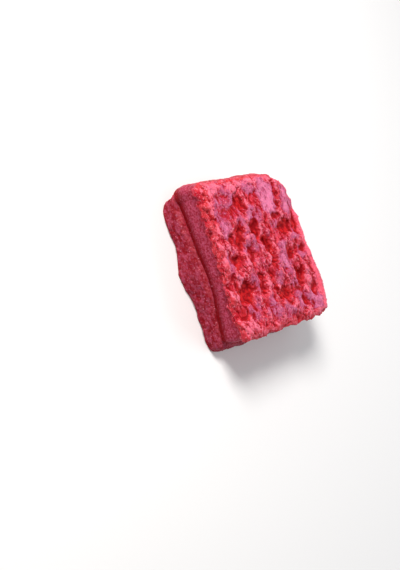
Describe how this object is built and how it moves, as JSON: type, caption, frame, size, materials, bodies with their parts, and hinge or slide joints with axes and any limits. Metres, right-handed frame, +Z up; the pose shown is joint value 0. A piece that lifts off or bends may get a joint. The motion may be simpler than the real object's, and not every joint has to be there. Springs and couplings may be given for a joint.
{
  "type": "slab of sugar candy",
  "caption": "Thick slab of red sugar candy with a craggy crust, knife-scored sides and a rough snapped foot, lying flat on its smooth underside.",
  "frame": {"origin": "middle of the slab's bounding box, on the flat underside it lies on", "axes": "+X along the slab towards its snapped end, +Y across it towards the tray side, +Z up through the crust"},
  "size_m": [0.0824, 0.0792, 0.0267],
  "materials": {
    "sugar": "grainy crystallised sugar, frosted pink on its crests and deep red in its hollows"
  },
  "bodies": {
    "root": {"candy_slab": "sugar"}
  },
  "joints": []
}
